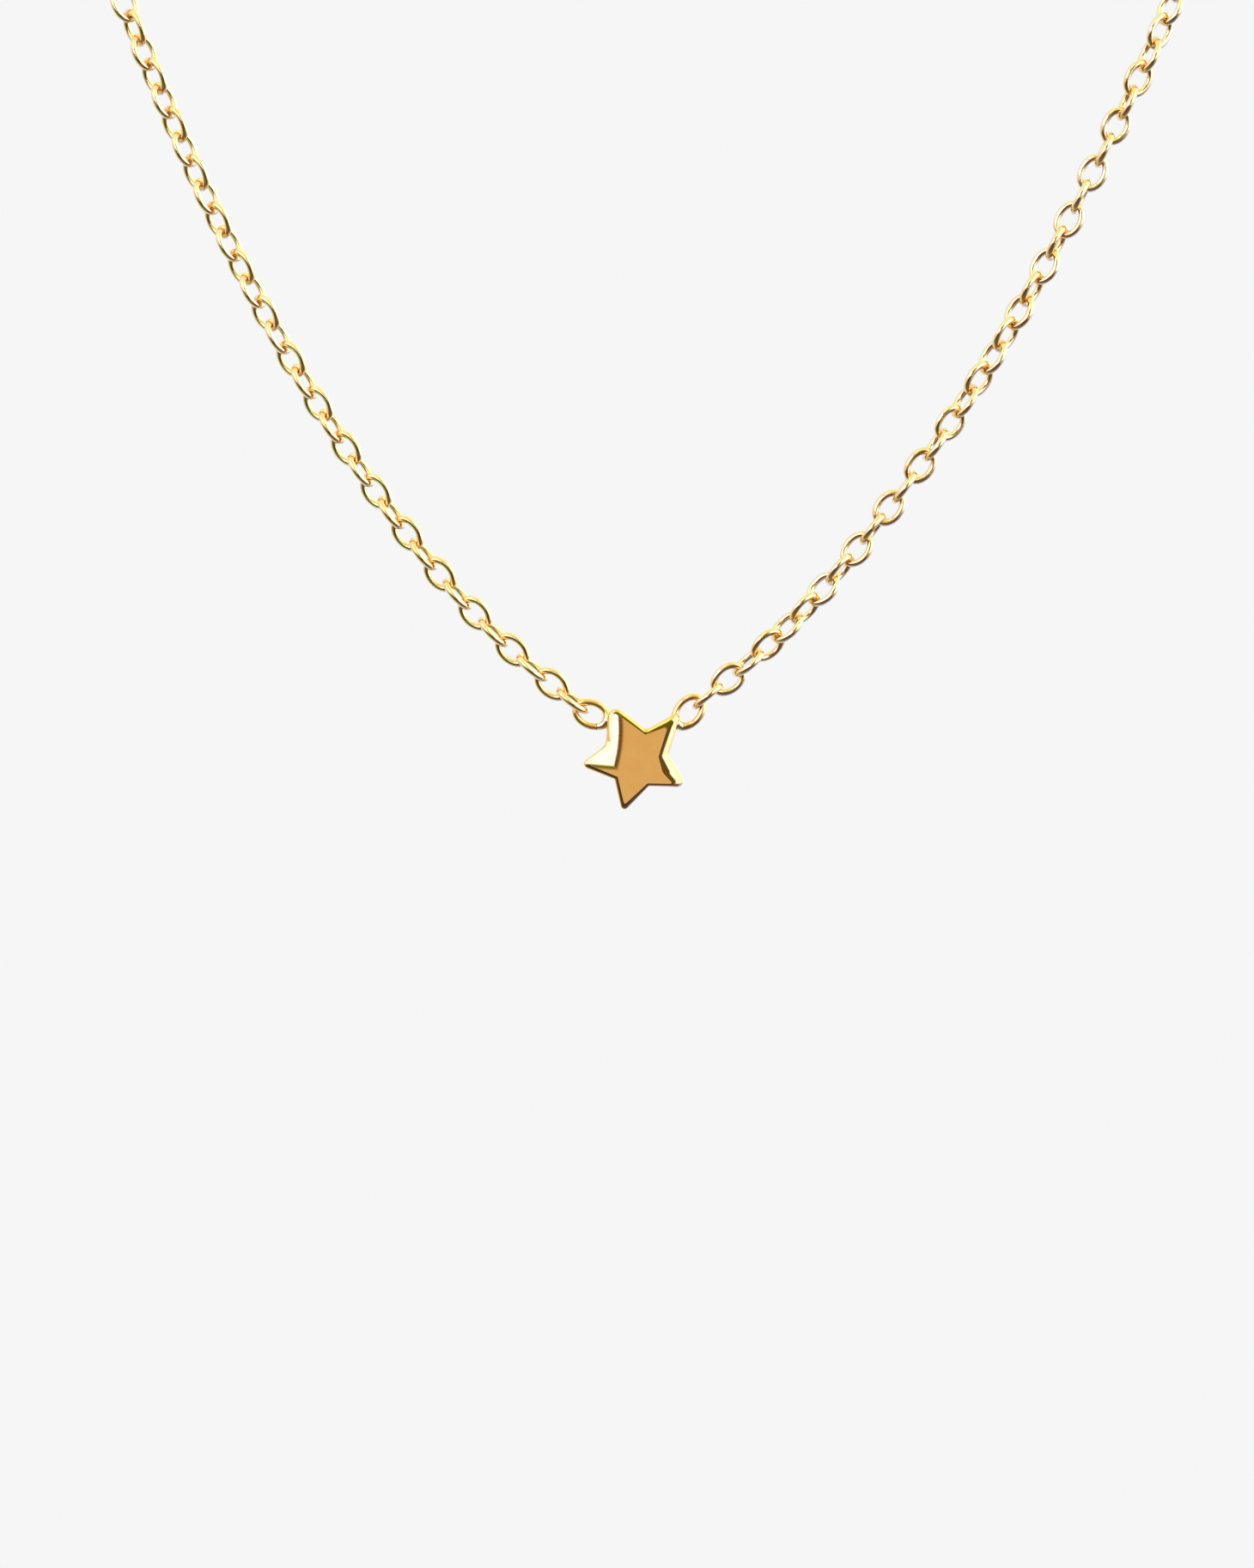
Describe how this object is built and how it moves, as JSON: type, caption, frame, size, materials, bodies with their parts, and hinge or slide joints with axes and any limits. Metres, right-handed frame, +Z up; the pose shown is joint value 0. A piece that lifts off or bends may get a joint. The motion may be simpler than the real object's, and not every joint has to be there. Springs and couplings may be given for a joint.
{
  "type": "drop necklace",
  "caption": "Fine cable-chain necklace: a whole loop of oval links with a small five-pointed star set in line at the front and a plain ring clasp at the nape.",
  "frame": {"origin": "middle of the neck hollow, level with the clasp at the nape", "axes": "+X to the right of someone who looks at the star from the front, +Y from the star to the nape, +Z up along the neck"},
  "size_m": [0.1025, 0.0938, 0.1239],
  "materials": {
    "star_gold": "polished yellow gold plate with a very fine grain on the flat face and a softly rounded rim",
    "chain_gold": "bright polished yellow gold plate on drawn wire",
    "clasp_gold": "polished yellow gold plate"
  },
  "bodies": {
    "root": {"star_pendant": "star_gold", "chain_left": "chain_gold", "chain_right": "chain_gold", "clasp": "clasp_gold"}
  },
  "joints": []
}
